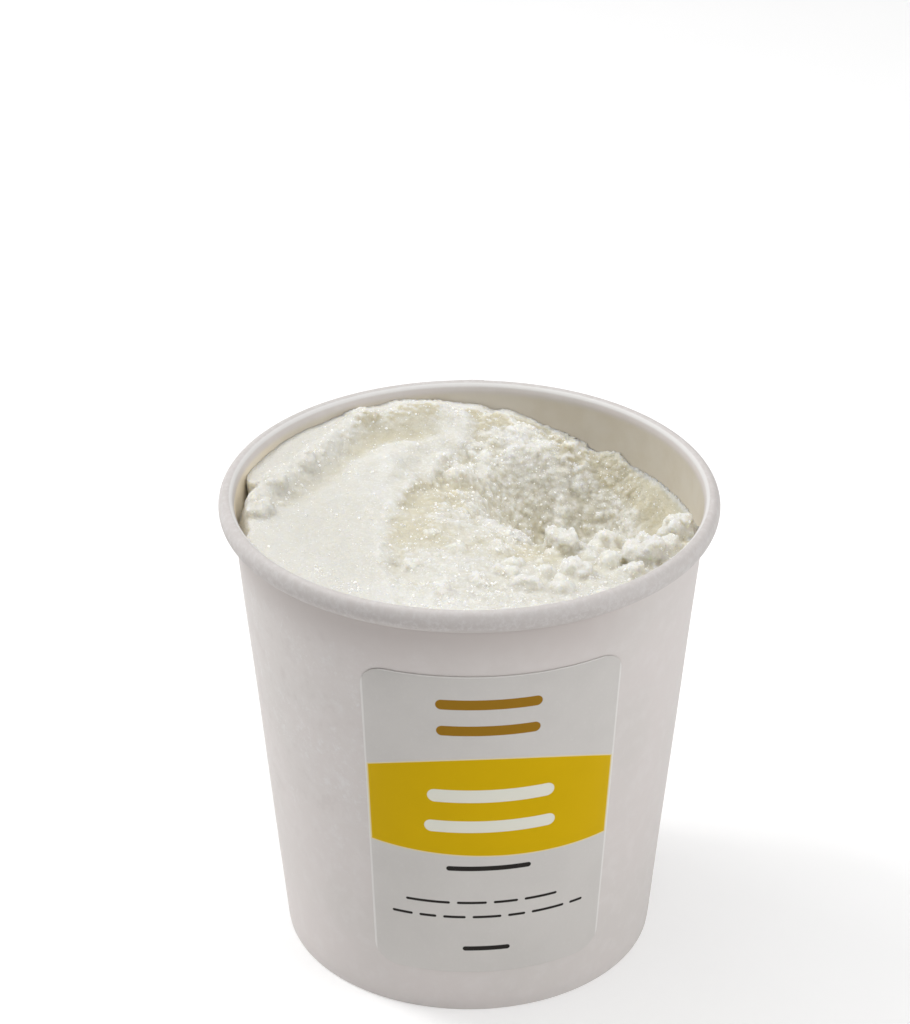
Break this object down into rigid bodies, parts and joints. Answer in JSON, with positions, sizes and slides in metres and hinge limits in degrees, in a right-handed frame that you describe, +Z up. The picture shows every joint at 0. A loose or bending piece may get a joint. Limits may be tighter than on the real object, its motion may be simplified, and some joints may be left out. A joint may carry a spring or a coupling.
{
  "type": "sorbet cup",
  "caption": "Open tapered paper tub with a rolled rim and a plain label, filled with pale sorbet that is smooth at one side and scooped out at the other.",
  "frame": {"origin": "the middle of the tub's foot ring, on the surface that the tub stands on", "axes": "+Z up along the tub's axis, -Y out through the middle of the label, and +X to the right of someone who faces the label"},
  "size_m": [0.098, 0.098, 0.0978],
  "materials": {
    "tub_paper": "satin",
    "base_paper": "matte",
    "label_paper": "satin",
    "sorbet": "satin"
  },
  "bodies": {
    "root": {"cup_wall": "tub_paper", "cup_base": "base_paper", "label": "label_paper", "sorbet": "sorbet"}
  },
  "joints": []
}
